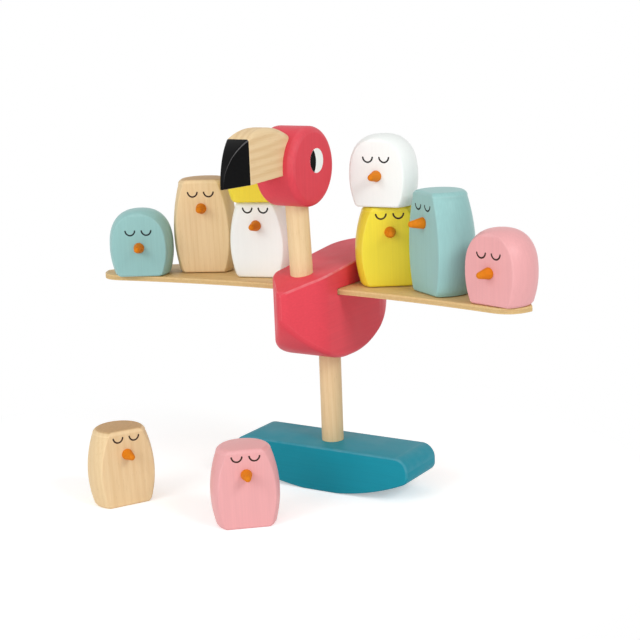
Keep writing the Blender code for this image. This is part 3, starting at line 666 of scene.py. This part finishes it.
def dowel(name, start, end, diameter):
    """A round stick with softened ends."""
    along = (end - start).normalized()
    turn = along.to_track_quat("Z", "Y").to_matrix()
    soft = diameter * DOWEL_SOFT
    rim = ((soft, 0), (soft * DOWEL_BOW, soft * DOWEL_BOW), (0, soft))
    rings = [(diameter / 2 - inset, start + along * out) for inset, out in rim]
    rings += [(diameter / 2, start.lerp(end, share)) for share in steps(*DOWEL_MIDDLE, count=8)]
    rings += [(diameter / 2 - inset, end - along * out) for inset, out in reversed(rim)]
    circles = []
    for radius, middle in rings:
        circle = arc((0, 0), radius, 0, TURN, count=64)[1:]
        circles.append([middle + turn @ Vector((x, y, 0)) for x, y in circle])
    return loft(name, circles)


class BALANCE_OT_dowels(Operator):
    """Model the leg and the neck, and finish the hidden pin of the beak"""
    bl_idname = "balance.dowels"
    bl_label = "Leg and neck"

    def execute(self, context):
        sizes = context.scene.balance_flamingo
        colours = context.scene.balance_colours
        wood = wood_finish("dowel_wood", colours, "Z", (0.2, 0.1, 0.5), ends=False)
        hip = Vector((0, 0, LEG_HIGH.z))
        leg = dowel("leg_stick", Vector((0, 0, LEG_LOW.z)), hip, sizes.dowel_diameter)
        finish_piece(leg, "flamingo", wood, "bare_wood", "leg_dowel")
        low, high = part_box("neck_dowel")
        tilt = Vector((0, -sin(sizes.neck_lean), cos(sizes.neck_lean)))
        lift = sizes.dowel_diameter / 2 * sin(sizes.neck_lean)
        body = context.scene.balance_body
        foot_z = BODY_LOW.z + body.height - sizes.neck_forward * tan(body.top_slope)
        foot = Vector((0, -sizes.neck_forward, foot_z))
        start = foot + tilt * ((low.z + lift - foot.z) / tilt.z)
        end = foot + tilt * ((high.z - lift - foot.z) / tilt.z)
        neck = dowel("neck_stick", start, end, sizes.dowel_diameter)
        finish_piece(neck, "flamingo", wood, "bare_wood", "neck_dowel")
        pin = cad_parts["beak_pin"]
        pin.data.materials.clear()
        pin.data.materials.append(wood_finish("pin_wood", colours, "Y", (0.3, 0.2, 0.1)))
        return {"FINISHED"}


def body_half_width(body, y):
    """Half the body's thickness at a place along Y."""
    half = body.thickness / 2
    from_nose = max(y - BODY_LOW.y, 0)
    into_tail = y - (BODY_HIGH.y - body.tail_length)
    nose = body.nose_width / 2
    prow = nose + (half - nose) * from_nose / body.prow_length
    width = soft_min(half, prow, body.crease)
    if from_nose < nose:
        width *= sqrt(max(1 - (1 - from_nose / nose) ** 2, LEAST))
    if into_tail > 0:
        width = half * sqrt(max(1 - (into_tail / body.tail_length) ** 2, LEAST))
    return width


def nose_fall(body, y):
    """What the rounding of the nose takes off the section at a place along Y."""
    inside = min(max(0, body.nose_round - (y - BODY_LOW.y)), body.nose_round)
    return body.nose_round - sqrt(body.nose_round ** 2 - inside ** 2)


def body_top(body, y):
    """Height of the body's top, with the sloping chest and the drop at the tail."""
    def line(place):
        return BODY_LOW.z + body.height + place * tan(body.top_slope)

    into_tail = y - (BODY_HIGH.y - body.tail_length)
    if into_tail > 0:
        return line(y) - body.tail_drop * (into_tail / body.tail_length) ** 2
    chest = line(-body.chest_start) + (y + body.chest_start) * tan(body.chest_slope)
    return soft_min(line(y), chest, body.chest_soft) - nose_fall(body, y)


def body_low(body, y):
    """Height of the body's underside: breast curve, flat belly and rump."""
    into_breast = -body.belly_front - y
    into_rump = y - (BODY_HIGH.y - body.rump_length)
    if into_breast > 0:
        span = -BODY_LOW.y - body.belly_front
        radius = (span ** 2 + body.chest_low ** 2) / (2 * body.chest_low)
        breast = BODY_LOW.z + radius - sqrt(radius ** 2 - into_breast ** 2)
        return breast + nose_fall(body, y)
    if into_rump > 0:
        share = min(into_rump / body.rump_length, 1)
        return BODY_LOW.z + body.rump_height * (1 - sqrt(1 - share ** 2))
    return BODY_LOW.z


def body_section(body, y):
    """Upright section across the body: a rectangle with rounded corners."""
    half = body_half_width(body, y)
    low = body_low(body, y)
    high = body_top(body, y)
    ring = rounded_section(half, high, low, body.arris, body.low_round, BODY_MOST_ROUND, count=6)
    return [(x, y, z) for x, z in ring]


class BALANCE_OT_body(Operator):
    """Model the flamingo's body with the slot that the plank slides in"""
    bl_idname = "balance.body"
    bl_label = "Body"

    def execute(self, context):
        body = context.scene.balance_body
        nose = BODY_LOW.y
        tail = BODY_HIGH.y - body.tail_length
        soft = body.nose_width / 2
        bend = 2 * body.crease
        crease = nose + body.prow_length
        places = [nose + soft * (1 - cos(turn)) for turn in steps(0, QUARTER, count=7)]
        places += steps(nose + soft, crease - bend, count=6)[1:]
        places += steps(crease - bend, crease + bend, count=24)[1:]
        places += steps(crease + bend, tail, count=22)[1:]
        turns = steps(0, asin(TAIL_END), count=26)[1:]
        places += [tail + body.tail_length * sin(turn) for turn in turns]
        obj = loft("body_wood", [body_section(body, y) for y in places])
        clear_selection()
        middle = (0, (body.slot_back - body.slot_front) / 2, (WING_LOW.z + WING_HIGH.z) / 2)
        bpy.ops.mesh.primitive_cube_add(size=1, location=middle)
        tool = bpy.context.object
        slot_height = WING_HIGH.z - WING_LOW.z + 2 * body.slot_gap
        tool.scale = (body.thickness * 2, body.slot_back + body.slot_front, slot_height)
        bpy.ops.object.transform_apply()
        cut_out(obj, tool)
        paint = paint_finish("red_body_coat", context.scene.balance_colours.red, "Y", worn=0.34)
        finish_piece(obj, "flamingo", paint, "red_paint", "body_block")
        return {"FINISHED"}


class BALANCE_OT_head(Operator):
    """Model the round head and the eye on each of its cheeks"""
    bl_idname = "balance.head"
    bl_label = "Head and eyes"

    def execute(self, context):
        sizes = context.scene.balance_flamingo
        colours = context.scene.balance_colours
        half = sizes.head_thickness / 2
        radius = sizes.head_diameter / 2
        corner = (radius - sizes.head_round, half - sizes.head_round)
        profile = [(radius * HEAD_INNER, half)]
        profile += arc(corner, sizes.head_round, QUARTER, 0, count=9)
        profile += [(wide, -x) for wide, x in reversed(profile)]
        rings = []
        for wide, x in profile:
            circle = arc((0, 0), wide, 0, TURN, count=128)[1:]
            rings.append([HEAD_CENTRE + Vector((x, y, z)) for y, z in circle])
        head = loft("head_wood", rings)
        paint = paint_finish("red_head_coat", colours.red, "Z", worn=0.22, shift=(0.3, 0.1, 0.2))
        finish_piece(head, "flamingo", paint, "red_paint", "head_block")

        white = paint_finish("eye_white_coat", colours.white, "Z", grain=0.02)
        black = paint_finish("eye_black_coat", colours.black, "Z", grain=0.3, shine=0.04, worn=0)
        eye = sizes.eye_diameter / 2
        circle = arc((0, 0), eye, 0, TURN, count=72)[1:]
        back, up = PUPIL_CORNER
        corner = atan2(up, back)
        pupil = arc((0, 0), eye * PUPIL_INSET, corner, TURN - corner, count=40)
        reach = atan2(up, PUPIL_BACK_MIDDLE + back)
        behind = (-PUPIL_BACK_MIDDLE * eye, 0)
        pupil += arc(behind, PUPIL_BACK_RADIUS * eye, -reach, reach, count=24)[1:-1]
        parts = (("white", circle, WHITE_LIFT, white), ("pupil", pupil, PUPIL_LIFT, black))
        for side, end in ((1, "right"), (-1, "left")):
            for name, outline, lift, coat in parts:
                rings = []
                for shrink, out in ((1, -EYE_SINK), (1, lift / 2), (EYE_EDGE, lift)):
                    middle = HEAD_CENTRE + Vector((side * (half + out), sizes.eye_back, sizes.eye_rise))
                    rings.append([middle + Vector((0, y, z)) * shrink for y, z in outline])
                disc = loft("eye_" + name + "_" + end, rings)
                finish_piece(disc, "flamingo", coat, "white_paint")
        return {"FINISHED"}


def beak_top(sizes, reach, y):
    """Height of the beak's crest above the head's middle."""
    if y > -sizes.beak_peak:
        sag = sizes.beak_back - sqrt(sizes.beak_back ** 2 - (y + sizes.beak_peak) ** 2)
        return sizes.beak_peak_rise - sag
    share = (-y - sizes.beak_peak) / (reach - sizes.beak_peak)
    fall = sizes.beak_peak_rise + sizes.beak_tip_drop
    return fall * sqrt(max(1 - share * share, 0)) - sizes.beak_tip_drop


def beak_section(sizes, reach, y):
    """Section of the beak at a place in front of the head's middle, round above."""
    half = sizes.beak_thickness / 2
    tip = sizes.beak_tip_thickness / 2
    into_tip = max(0, (-y - sizes.beak_facet_start) / (reach - sizes.beak_facet_start))
    half += (tip - half) * into_tip
    top = beak_top(sizes, reach, y)
    low = (y + reach) * tan(sizes.beak_under_slope) - sizes.beak_tip_drop
    if into_tip > 0:
        crown = sizes.beak_line_round + (sizes.beak_arris - sizes.beak_line_round) * into_tip
    else:
        share = -y / sizes.beak_facet_start
        crown = sizes.beak_head_round + (sizes.beak_line_round - sizes.beak_head_round) * share
    ring = rounded_section(half, top, low, crown, sizes.beak_arris, BEAK_MOST_ROUND, count=9)
    return [HEAD_CENTRE + Vector((x, y, z)) for x, z in ring]


class BALANCE_OT_beak(Operator):
    """Model the flamingo's beak and dip its tip in black"""
    bl_idname = "balance.beak"
    bl_label = "Beak"

    def execute(self, context):
        sizes = context.scene.balance_flamingo
        colours = context.scene.balance_colours
        reach = HEAD_CENTRE.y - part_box("beak_block")[0].y
        front = reach - sizes.beak_peak
        dip = asin((sizes.beak_facet_start - sizes.beak_peak) / front)
        turns = steps(0, dip, count=12)[1:] + steps(dip, BEAK_END, count=30)[1:]
        places = steps(0, -sizes.beak_peak, count=16)
        places += [-sizes.beak_peak - front * sin(turn) for turn in turns]
        obj = loft("beak_wood", [beak_section(sizes, reach, y) for y in places])
        beside = Vector((sizes.beak_thickness, 0, 0))
        seat_diameter = sizes.head_diameter + BEAK_SEAT_GAP
        cut_out(obj, dowel("beak_seat", HEAD_CENTRE - beside, HEAD_CENTRE + beside, seat_diameter))
        line = HEAD_CENTRE.y - sizes.beak_facet_start
        wood = wood_finish("beak_wood_coat", colours, "Y", (0.3, 0.12, 0.4), growth=0.38, lean=-14)
        dipped = {"along": "Y", "grain": 0.3}
        black = paint_finish(
            "beak_black_coat", colours.black, roughness=0.34, shine=0.06, worn=0, **dipped
        )
        # A lighter grey on the nose edge of the black tip is a painted highlight
        worn = paint_finish("beak_worn_edge", colours.worn_black, roughness=0.3, shine=0.3, **dipped)
        finish_piece(obj, "flamingo", wood, "bare_wood", "beak_block", smooth=BEAK_SMOOTH)
        obj.data.materials.append(black)
        obj.data.materials.append(worn)
        # Faces in front of the line are black, and those on the nose edge get the painted highlight
        least, most = BLACK_HIGHLIGHT_TURN
        for face in obj.data.polygons:
            if face.center.y < line:
                face.material_index = 2 if least < abs(face.normal.x) < most else 1
        return {"FINISHED"}


class BALANCE_OT_wing(Operator):
    """Model the plywood plank with its swept front and curved tips"""
    bl_idname = "balance.wing"
    bl_label = "Wing plank"

    def execute(self, context):
        wing = context.scene.balance_wing
        half = wing.length / 2
        middle = (WING_LOW.x + WING_HIGH.x) / 2
        tip = half - wing.end_slant

        def front_edge(x):
            sag = wing.front_radius - sqrt(wing.front_radius ** 2 - x ** 2)
            return Vector((x, -wing.forward - sag))

        back_y = wing.width - wing.forward
        radius = (wing.tip_length ** 2 + wing.tip_sweep ** 2) / (2 * wing.tip_sweep)
        centre = (half - wing.tip_length, back_y - radius)
        back = arc(centre, radius, acos(wing.tip_length / radius), QUARTER, count=30)
        corner = front_edge(tip)
        start = front_edge(tip - wing.corner_reach)
        stop = corner + (Vector(back[0]) - corner).normalized() * wing.corner_reach
        side = []
        for share in steps(0, 1, count=16)[1:]:
            side.append(start.lerp(corner, share).lerp(corner.lerp(stop, share), share))
        side += [Vector(point) for point in back]
        outline = [front_edge(x) for x in steps(-start.x, start.x, count=60)] + side
        outline += [Vector((-point.x, point.y)) for point in reversed(side)]
        points = [(point.x + middle, point.y, WING_LOW.z) for point in outline]
        obj = plate("wing_plywood", points, (0, 0, wing.thickness))
        bevel_edges(obj, "Z", wing.arris, segments=3)
        close_up()
        ply = ply_finish("plank_plywood", context.scene.balance_colours, WING_LOW.z, wing.thickness)
        finish_piece(obj, "wing", ply, "plywood", "wing_plank")
        return {"FINISHED"}


def bird_profile(bird, height, belly, domed):
    """Radii and heights of a bird, from its foot to its dome or its flat top."""
    wide = bird.diameter / 2
    flare = wide - bird.foot_diameter / 2
    taper = wide - bird.top_diameter / 2
    above = height - belly
    rings = [(wide - flare * (1 - z / belly) ** 2, z) for z in steps(0, belly, count=14)]
    if domed:
        for turn in steps(0, QUARTER, count=34)[1:]:
            radius = max(wide * cos(turn) ** (2 / DOME_POWER), LEAST)
            rings.append((radius, belly + above * sin(turn) ** (2 / DOME_POWER)))
    else:
        for z in steps(belly, height, count=20)[1:]:
            rings.append((wide - taper * ((z - belly) / above) ** 2, z))
    return rings


def bird_section(bird, radius, inset, z):
    """Section of a bird: a circle with its front sliced flat and both corners rounded."""
    face = soft_min(bird.face - inset, radius - inset, bird.arris * 2)
    radius = radius - inset
    soft = min(bird.arris, radius / 2)
    face = min(face, radius)
    across = sqrt(max((radius - soft) ** 2 - (face - soft) ** 2, 0))
    corner = atan2(soft - face, across)
    right = arc((across, soft - face), soft, -QUARTER, corner, count=5)
    back = arc((0, 0), radius, corner, pi - corner, count=72)[1:-1]
    left = [(-x, y) for x, y in reversed(right)]
    flat = [(x, -face) for x in steps(-across, across, count=14)[1:-1]]
    return [(x, y, z) for x, y in right + back + left + flat]


def bird_rings(bird, profile, height, domed):
    """All the sections of a bird, with the rim of its foot and of its top rounded."""
    soft = bird.arris
    rings = []
    for turn in steps(QUARTER, 0, count=5):
        rings.append((profile[0][0], soft * (1 - cos(turn)), soft * (1 - sin(turn))))
    body = [(radius, 0, z) for radius, z in profile if z > soft]
    if not domed:
        rim = bird.top_round
        body = [item for item in body if item[2] < height - rim]
        wide = body[-1][0]
        for turn in steps(0, QUARTER, count=8):
            lean = (profile[-1][0] - wide) * sin(turn)
            body.append((wide + lean, rim * (1 - cos(turn)), height - rim * (1 - sin(turn))))
    rings += body
    return [bird_section(bird, radius, inset, z) for radius, inset, z in rings]


def peg_rings(bird, beak_height):
    """Sections of a bird's beak, from inside the face to its rounded tip."""
    base = bird.peg_diameter / 2
    lean = atan((base - bird.peg_tip) / (bird.peg_length - bird.peg_tip))
    profile = [(base * share, out) for share, out in PEG_ROOT]
    foot = PEG_ROOT[-1][1]
    middle = bird.peg_length - bird.peg_tip
    edge = bird.peg_tip * cos(lean)
    rise = middle + bird.peg_tip * sin(lean) - foot
    for share in steps(PEG_START, 1, count=6):
        profile.append((base + (edge - base) * share, foot + rise * share))
    for turn in steps(lean, QUARTER, count=9)[1:]:
        profile.append((max(bird.peg_tip * cos(turn), PEG_POINT), middle + bird.peg_tip * sin(turn)))
    rings = []
    for radius, out in profile:
        circle = arc((0, beak_height), radius, 0, TURN, count=40)[1:]
        rings.append([(x, -bird.face - out, z) for x, z in circle])
    return rings


def eye_rings(bird, middle, eye_height):
    """Sections of one closed eye, drawn as a bow from end to end."""
    half = bird.eye_width / 2
    stroke = bird.eye_stroke / 2
    stations = list(STROKE_ENDS)
    stations += [(share, 1) for share in steps(*STROKE_MIDDLE, count=24)]
    stations += [(1 - share, swell) for share, swell in reversed(STROKE_ENDS)]
    rings = []
    for share, swell in stations:
        turn = pi + pi * share
        place = Vector((middle + half * cos(turn), 0, eye_height + bird.eye_depth * sin(turn)))
        out = Vector((cos(turn) / half, 0, sin(turn) / bird.eye_depth)).normalized()
        ring = []
        for side, lift in arc((0, 0), 1, 0, TURN, count=10)[1:]:
            point = place + out * (side * stroke * swell)
            ring.append((point.x, -bird.face - STROKE_LIFT - lift * STROKE_BULGE, point.z))
        rings.append(ring)
    return rings


BIRDS = (
    ("teal_short", "short", "teal", 29),
    ("natural_tall", "tall", "natural", 25),
    ("white_medium", "medium", "white", 14),
    ("yellow_short", "short", "yellow", 22),
    ("yellow_medium", "medium", "yellow", 33),
    ("white_short", "short", "white", 6),
    ("teal_tall", "tall", "teal", -32),
    ("pink_short", "short", "pink", -14),
    ("natural_medium", "medium", "natural", 61),
    ("pink_medium", "medium", "pink", 41),
)
KINDS = {"short": "teal_short_body", "medium": "white_medium_body", "tall": "natural_tall_body"}
INKS = {"teal": "green", "white": "black"}
SLOTS = {"teal": "pale_teal_paint", "natural": "bare_wood"}


def bird_place(bird, name, facing):
    """Where a bird's axis meets what it stands on, from the box of its solid."""
    low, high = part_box(name + "_body")
    x = low.x + bird.diameter / 2 if facing >= 0 else high.x - bird.diameter / 2
    return Vector((x, high.y - bird.diameter / 2, low.z))


def copy_to(pattern, name, place, facing):
    """A copy of a piece with its own mesh, turned and moved to a bird's place."""
    select_only(pattern)
    bpy.ops.object.duplicate()
    obj = bpy.context.object
    obj.name = name
    obj.data.name = name
    obj.location = place
    obj.rotation_euler = (0, 0, radians(facing))
    bpy.ops.object.transform_apply()
    return obj


class BALANCE_OT_birds(Operator):
    """Model one bird of each height, and copy it to every place with its own paint"""
    bl_idname = "balance.birds"
    bl_label = "Birds"

    def execute(self, context):
        bird = context.scene.balance_birds
        colours = context.scene.balance_colours
        patterns = {}
        for order, (kind, node) in enumerate(KINDS.items()):
            height = extent(node).z
            domed = kind == "short"
            profile = bird_profile(bird, height, bird.belly_heights[order], domed)
            barrel = loft("pattern_" + kind, bird_rings(bird, profile, height, domed))
            peg = loft("pattern_peg_" + kind, peg_rings(bird, bird.beak_heights[order]))
            eye_height = bird.eye_heights[order] + bird.eye_depth / 2
            eyes = loft("pattern_eye_" + kind, eye_rings(bird, -bird.eye_apart / 2, eye_height))
            second = loft("pattern_eye2_" + kind, eye_rings(bird, bird.eye_apart / 2, eye_height))
            select_only(eyes)
            second.select_set(True)
            bpy.ops.object.join()
            patterns[kind] = (barrel, peg, eyes)

        coats = {}
        for name, grain in (("white", 0.02), ("yellow", 0.05), ("teal", 0.06), ("pink", 0.05)):
            tone = getattr(colours, name)
            coats[name] = paint_finish(name + "_bird_coat", tone, "Z", grain, roughness=0.36, shine=0.22)
        coats["natural"] = wood_finish("bird_wood", colours, "Z", (0.15, 0.1, 0.6))
        orange = paint_finish("orange_coat", colours.orange, "Y", 0.08, roughness=0.5, shine=0.08, worn=0)
        inks = {}
        for name in ("brown", "green", "black"):
            tone = getattr(colours, "ink_" + name)
            inks[name] = paint_finish(name + "_ink", tone, "Z", 0.1, roughness=0.6)
        for name, kind, tone, facing in BIRDS:
            place = bird_place(bird, name, facing)
            barrel, peg, eyes = patterns[kind]
            slot = SLOTS.get(tone, tone + "_paint")
            copy = copy_to(barrel, name + "_barrel", place, facing)
            finish_piece(copy, name, coats[tone], slot, name + "_body")
            copy = copy_to(peg, name + "_peg", place, facing)
            finish_piece(copy, name, orange, "orange_paint", name + "_beak")
            copy = copy_to(eyes, name + "_eyes", place, facing)
            finish_piece(copy, name, inks[INKS.get(tone, "brown")], slot)
        for pieces in patterns.values():
            for piece in pieces:
                bpy.data.objects.remove(piece, do_unlink=True)
        return {"FINISHED"}


def soft_box(name, place, aim, width, height, power):
    """A large square lamp that looks at a point."""
    clear_selection()
    bpy.ops.object.light_add(type="AREA", location=place)
    lamp = bpy.context.object
    lamp.name = name
    lamp.data.shape = "RECTANGLE"
    lamp.data.size = width
    lamp.data.size_y = height
    lamp.data.energy = power
    lamp.rotation_euler = (Vector(aim) - Vector(place)).to_track_quat("-Z", "Y").to_euler()


class BALANCE_OT_stage(Operator):
    """Set the pale floor, the soft studio light and the camera"""
    bl_idname = "balance.stage"
    bl_label = "Stage"

    def execute(self, context):
        stage = context.scene.balance_stage
        scene = context.scene
        scene.view_settings.view_transform = "Standard"

        clear_selection()
        bpy.ops.mesh.primitive_plane_add(size=stage.floor_size)
        floor = bpy.context.object
        floor.name = "floor"
        pale = Finish("pale_floor")
        seen = pale.seen()
        from_birds = pale.mapped((1, 1, 1), shift=FLOOR_MIDDLE)
        away = pale.add("VectorMath", {"operation": "LENGTH"}, Vector=from_birds)
        fade = pale.span(away.outputs["Value"], stage.floor_near, stage.floor_far, 0, 1)
        hidden = pale.math("MULTIPLY", fade, seen)
        glow = pale.span(fade, 0, 1, stage.floor_lift, 1)
        pale.set(
            Base_Color=pale.blend(hidden, stage.floor[:], (0, 0, 0, 1)),
            Roughness=1,
            Specular_IOR_Level=0,
            Emission_Color=WHITE,
            Emission_Strength=pale.math("MULTIPLY", glow, seen),
        )
        floor.data.materials.append(pale.material)

        scene.world = scene.world or bpy.data.worlds.new("studio")
        scene.world.use_nodes = True
        room = Nodes(scene.world.node_tree)
        level = room.span(room.seen(), 0, 1, stage.room_light, 1)
        sky = room.add("Background", Color=WHITE, Strength=level)
        room.add("OutputWorld", Surface=sky.outputs["Background"])

        for name, place, width, height in LAMPS:
            soft_box(name + "_light", place, LAMP_AIM, width, height, getattr(stage, name + "_power"))

        turn = Matrix.Rotation(stage.azimuth, 3, "Z")
        turn = turn @ Matrix.Rotation(QUARTER - stage.elevation, 3, "X")
        turn = turn @ Matrix.Rotation(-stage.roll, 3, "Z")
        clear_selection()
        back = turn @ Vector((0, 0, stage.distance))
        bpy.ops.object.camera_add(location=Vector(stage.aim) + back, rotation=turn.to_euler())
        camera = bpy.context.object
        camera.name = "photo_camera"
        camera.data.lens = stage.lens
        camera.data.clip_start, camera.data.clip_end = CLIP_RANGE
        scene.camera = camera
        return {"FINISHED"}


class BALANCE_PT_panel(Panel):
    """Lists the pieces of the balance game with their sizes and colours"""
    bl_idname = "BALANCE_PT_panel"
    bl_label = "Balance game"
    bl_space_type = "VIEW_3D"
    bl_region_type = "UI"
    bl_category = "Balance game"

    def draw(self, context):
        for operator in OPERATORS:
            self.layout.operator(operator.bl_idname)
        for holder in GROUPS:
            group = getattr(context.scene, holder)
            box = self.layout.box()
            for key in group.__annotations__:
                box.prop(group, key)


GROUPS = {
    "balance_flamingo": FlamingoSizes,
    "balance_body": BodySizes,
    "balance_wing": WingSizes,
    "balance_birds": BirdSizes,
    "balance_colours": PaintColours,
    "balance_stage": StageSettings,
}
OPERATORS = (
    BALANCE_OT_rocker,
    BALANCE_OT_dowels,
    BALANCE_OT_body,
    BALANCE_OT_head,
    BALANCE_OT_beak,
    BALANCE_OT_wing,
    BALANCE_OT_birds,
    BALANCE_OT_stage,
)


def register():
    """Register all classes, with each property labelled by its own name in words."""
    for holder, group in GROUPS.items():
        for key, prop in group.__annotations__.items():
            prop.keywords["name"] = key.replace("_", " ").capitalize()
        bpy.utils.register_class(group)
        setattr(bpy.types.Scene, holder, PointerProperty(type=group))
    for operator in OPERATORS:
        bpy.utils.register_class(operator)
    bpy.utils.register_class(BALANCE_PT_panel)


def unregister():
    bpy.utils.unregister_class(BALANCE_PT_panel)
    for operator in reversed(OPERATORS):
        bpy.utils.unregister_class(operator)
    for holder, group in reversed(GROUPS.items()):
        delattr(bpy.types.Scene, holder)
        bpy.utils.unregister_class(group)


def main():
    register()
    bpy.ops.balance.rocker()
    bpy.ops.balance.dowels()
    bpy.ops.balance.body()
    bpy.ops.balance.head()
    bpy.ops.balance.beak()
    bpy.ops.balance.wing()
    bpy.ops.balance.birds()
    bpy.ops.balance.stage()


if __name__ == "__main__":
    main()
